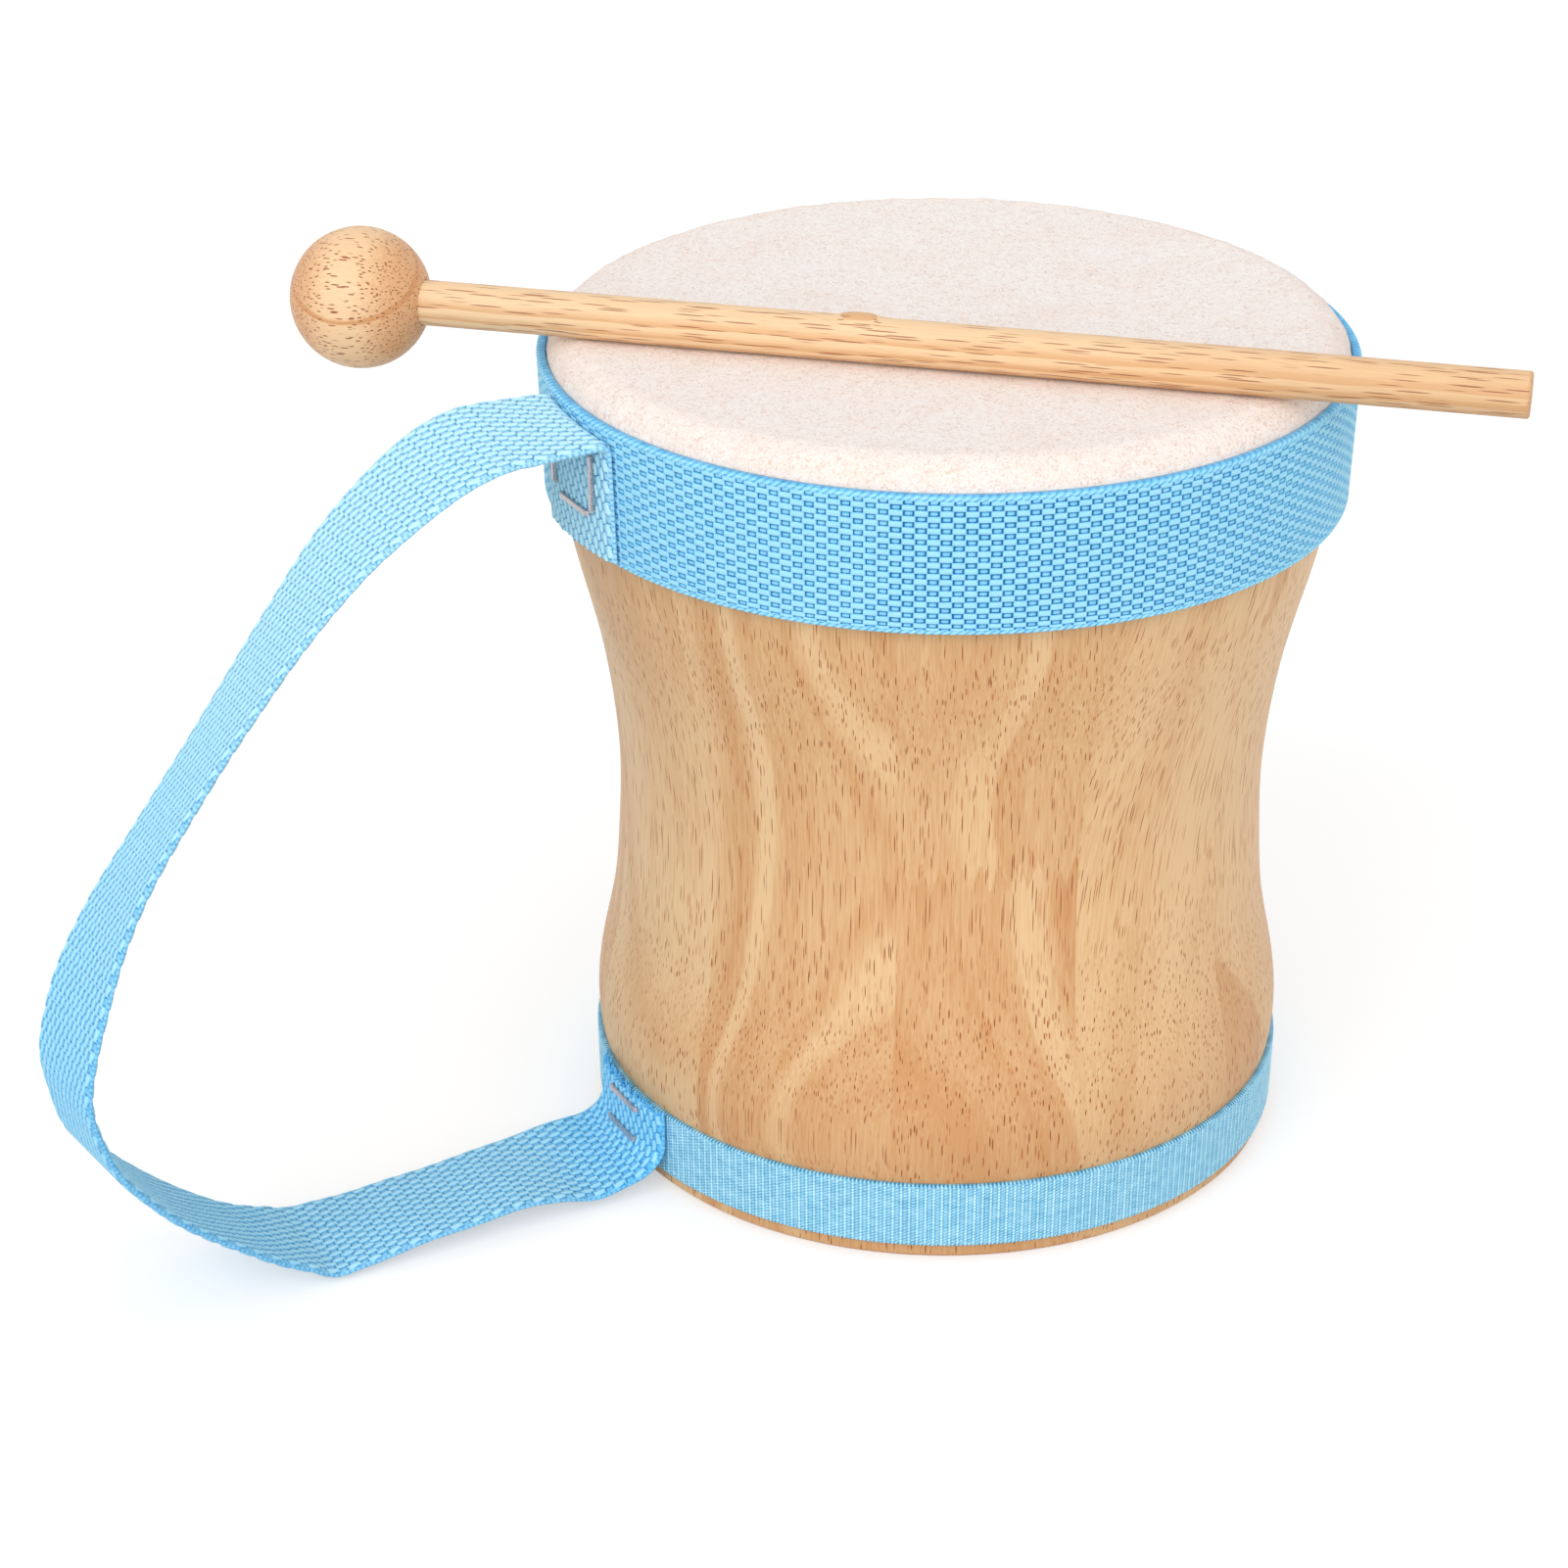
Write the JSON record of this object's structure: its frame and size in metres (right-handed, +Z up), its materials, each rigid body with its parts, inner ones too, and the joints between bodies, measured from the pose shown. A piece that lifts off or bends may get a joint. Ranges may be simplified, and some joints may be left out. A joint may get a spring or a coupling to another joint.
{
  "type": "hand drum",
  "caption": "Small hourglass wooden hand drum with a stretched hide head, a stapled webbing hand strap and a loose ball mallet.",
  "frame": {"origin": "centre of the open lower end of the bore, on the surface that the drum stands on", "axes": "+Z up through the head, the picture is taken looking along +Y with +X to the right, the strap leaves at 152 degrees clockwise from +X seen from above"},
  "size_m": [0.2546, 0.1655, 0.1735],
  "materials": {
    "shell_wood": "turned and sanded, thin clear satin oil",
    "hide": "soft matte suede side of natural hide",
    "staple_wire": "dull galvanised wire",
    "band_webbing": "woven sky blue polypropylene webbing",
    "foot_ribbon": "fine ribbed sky blue ribbon",
    "strap_webbing": "woven sky blue polypropylene webbing with studded edges",
    "mallet_ball_wood": "turned and sanded, bare",
    "mallet_dowel_wood": "sanded dowel, bare"
  },
  "bodies": {
    "drum": {"stave_01": "shell_wood", "stave_02_upper": "shell_wood", "stave_02_lower": "shell_wood", "stave_03": "shell_wood", "stave_04": "shell_wood", "stave_05": "shell_wood", "stave_06": "shell_wood", "stave_07": "shell_wood", "stave_08": "shell_wood", "stave_09": "shell_wood", "stave_10": "shell_wood", "stave_11": "shell_wood", "head_skin": "hide", "hide_staples": "staple_wire", "upper_band": "band_webbing", "foot_ribbon": "foot_ribbon", "strap_upper_tab": "strap_webbing", "strap_lower_tab": "strap_webbing", "upper_tab_staples": "staple_wire", "lower_tab_staples": "staple_wire"},
    "strap": {"strap_loop": "strap_webbing"},
    "mallet": {"mallet_ball": "mallet_ball_wood", "mallet_handle": "mallet_dowel_wood"}
  },
  "joints": [
    {"name": "mallet_lift", "type": "slide", "parent": "drum", "child": "mallet", "axis": [0, 0, 1], "range_m": [0, 0.1]},
    {"name": "strap_swing", "type": "hinge", "parent": "drum", "child": "strap", "pos_m": [-0.06004, -0.03192, 0.077], "axis": [0, 0, 1], "range_deg": [-25, 25]}
  ]
}
